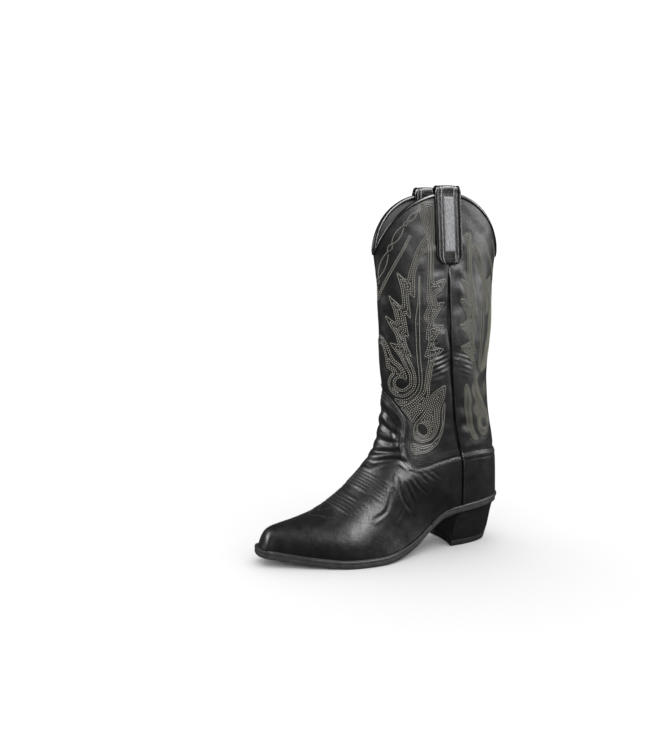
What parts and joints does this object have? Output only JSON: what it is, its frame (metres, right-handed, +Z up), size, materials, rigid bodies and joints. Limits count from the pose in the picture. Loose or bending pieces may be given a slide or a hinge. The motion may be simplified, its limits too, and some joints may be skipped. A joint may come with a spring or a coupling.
{
  "type": "cowboy boot",
  "caption": "Left pointed-toe western boot: tall stitched shaft with scalloped top, pull straps, vamp, counter, welt, steel shank and stacked underslung heel.",
  "frame": {"origin": "on the ground under the middle of the boot: the middle of its box across and along, at the height of the heel cap and tread", "axes": "+Z up, -Y towards the toe, +X towards the outer (lateral) side of the left foot"},
  "size_m": [0.0986, 0.2746, 0.3788],
  "materials": {
    "upper_leather": "satin",
    "trim_leather": "gloss",
    "inlay_leather": "matte",
    "lining_leather": "matte",
    "natural_leather": "matte",
    "lining_canvas": "matte",
    "sole_leather": "satin",
    "heel_stack_leather": "satin",
    "heel_rubber": "matte",
    "cork_mix": "matte",
    "shank_steel": "satin",
    "nail_brass": "satin",
    "peg_wood": "matte"
  },
  "bodies": {
    "boot": {"shaft_front": "upper_leather", "shaft_back": "upper_leather", "vamp": "upper_leather", "heel_counter": "upper_leather", "lining_front": "lining_leather", "lining_back": "lining_leather", "vamp_lining": "natural_leather", "vamp_interlining": "lining_canvas", "toe_box": "natural_leather", "counter_stiffener": "natural_leather", "side_piping_lateral": "trim_leather", "side_piping_medial": "trim_leather", "topline_binding_front": "trim_leather", "topline_binding_back": "trim_leather", "pull_strap_lateral_outer": "upper_leather", "pull_strap_lateral_inner": "upper_leather", "pull_strap_lateral_inlay": "inlay_leather", "pull_strap_medial_outer": "upper_leather", "pull_strap_medial_inner": "upper_leather", "pull_strap_medial_inlay": "inlay_leather", "outsole": "sole_leather", "shank": "shank_steel", "cork_filler": "cork_mix", "welt": "sole_leather", "heel_rand": "sole_leather", "insole": "natural_leather", "heel_sock": "lining_leather", "heel_cap": "heel_rubber", "heel_lift_1": "heel_stack_leather", "heel_lift_2": "heel_stack_leather", "heel_lift_3": "heel_stack_leather", "heel_lift_4": "heel_stack_leather", "heel_nail_1": "nail_brass", "heel_nail_2": "nail_brass", "heel_nail_3": "nail_brass", "heel_nail_4": "nail_brass", "heel_nail_5": "nail_brass", "sole_peg_1": "peg_wood", "sole_peg_2": "peg_wood", "sole_peg_3": "peg_wood", "sole_peg_4": "peg_wood", "sole_peg_5": "peg_wood", "sole_peg_6": "peg_wood"},
    "lateral_loop": {"pull_strap_lateral_loop": "upper_leather"},
    "medial_loop": {"pull_strap_medial_loop": "upper_leather"}
  },
  "joints": [
    {"name": "lateral_strap_loop_flex", "type": "hinge", "parent": "boot", "child": "lateral_loop", "pos_m": [0.01817, 0.06006, 0.3722], "axis": [0, 1, 0], "range_deg": [-15, 15], "stiffness_Nm_per_rad": 0.005},
    {"name": "medial_strap_loop_flex", "type": "hinge", "parent": "boot", "child": "medial_loop", "pos_m": [-0.02713, 0.06006, 0.3722], "axis": [0, -1, 0], "range_deg": [-15, 15], "stiffness_Nm_per_rad": 0.005}
  ]
}
